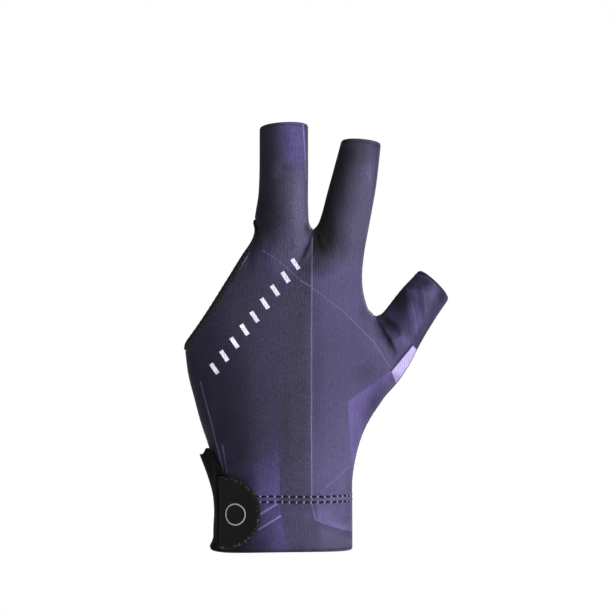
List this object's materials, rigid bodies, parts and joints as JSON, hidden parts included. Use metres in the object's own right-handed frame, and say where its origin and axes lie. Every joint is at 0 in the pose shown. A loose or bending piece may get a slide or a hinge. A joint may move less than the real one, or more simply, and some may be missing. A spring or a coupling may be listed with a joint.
{
  "type": "three-finger billiard glove",
  "caption": "Worn-shape stretch billiard glove for a left hand: open sleeves for thumb, forefinger and middle finger, edged opening for the other fingers, wrist strap with rounded hook tab.",
  "frame": {"origin": "middle of the wrist opening, in the plane of the hem", "axes": "+Z from the wrist towards the fingertips, +X towards the thumb, +Y out of the palm side, so the back of the hand faces -Y"},
  "size_m": [0.1193, 0.0423, 0.1934],
  "materials": {
    "printed_fabric": "violet and charcoal printed stretch knit",
    "palm_fabric": "dark stretch knit",
    "black_elastic": "black elastic edging",
    "strap_fabric": "black brushed strap",
    "hook_fabric": "black hook-and-loop tab"
  },
  "bodies": {
    "root": {"back_panel": "printed_fabric", "palm_panel": "palm_fabric", "opening_edging": "black_elastic", "wrist_strap": "strap_fabric", "hook_tab": "hook_fabric"}
  },
  "joints": []
}
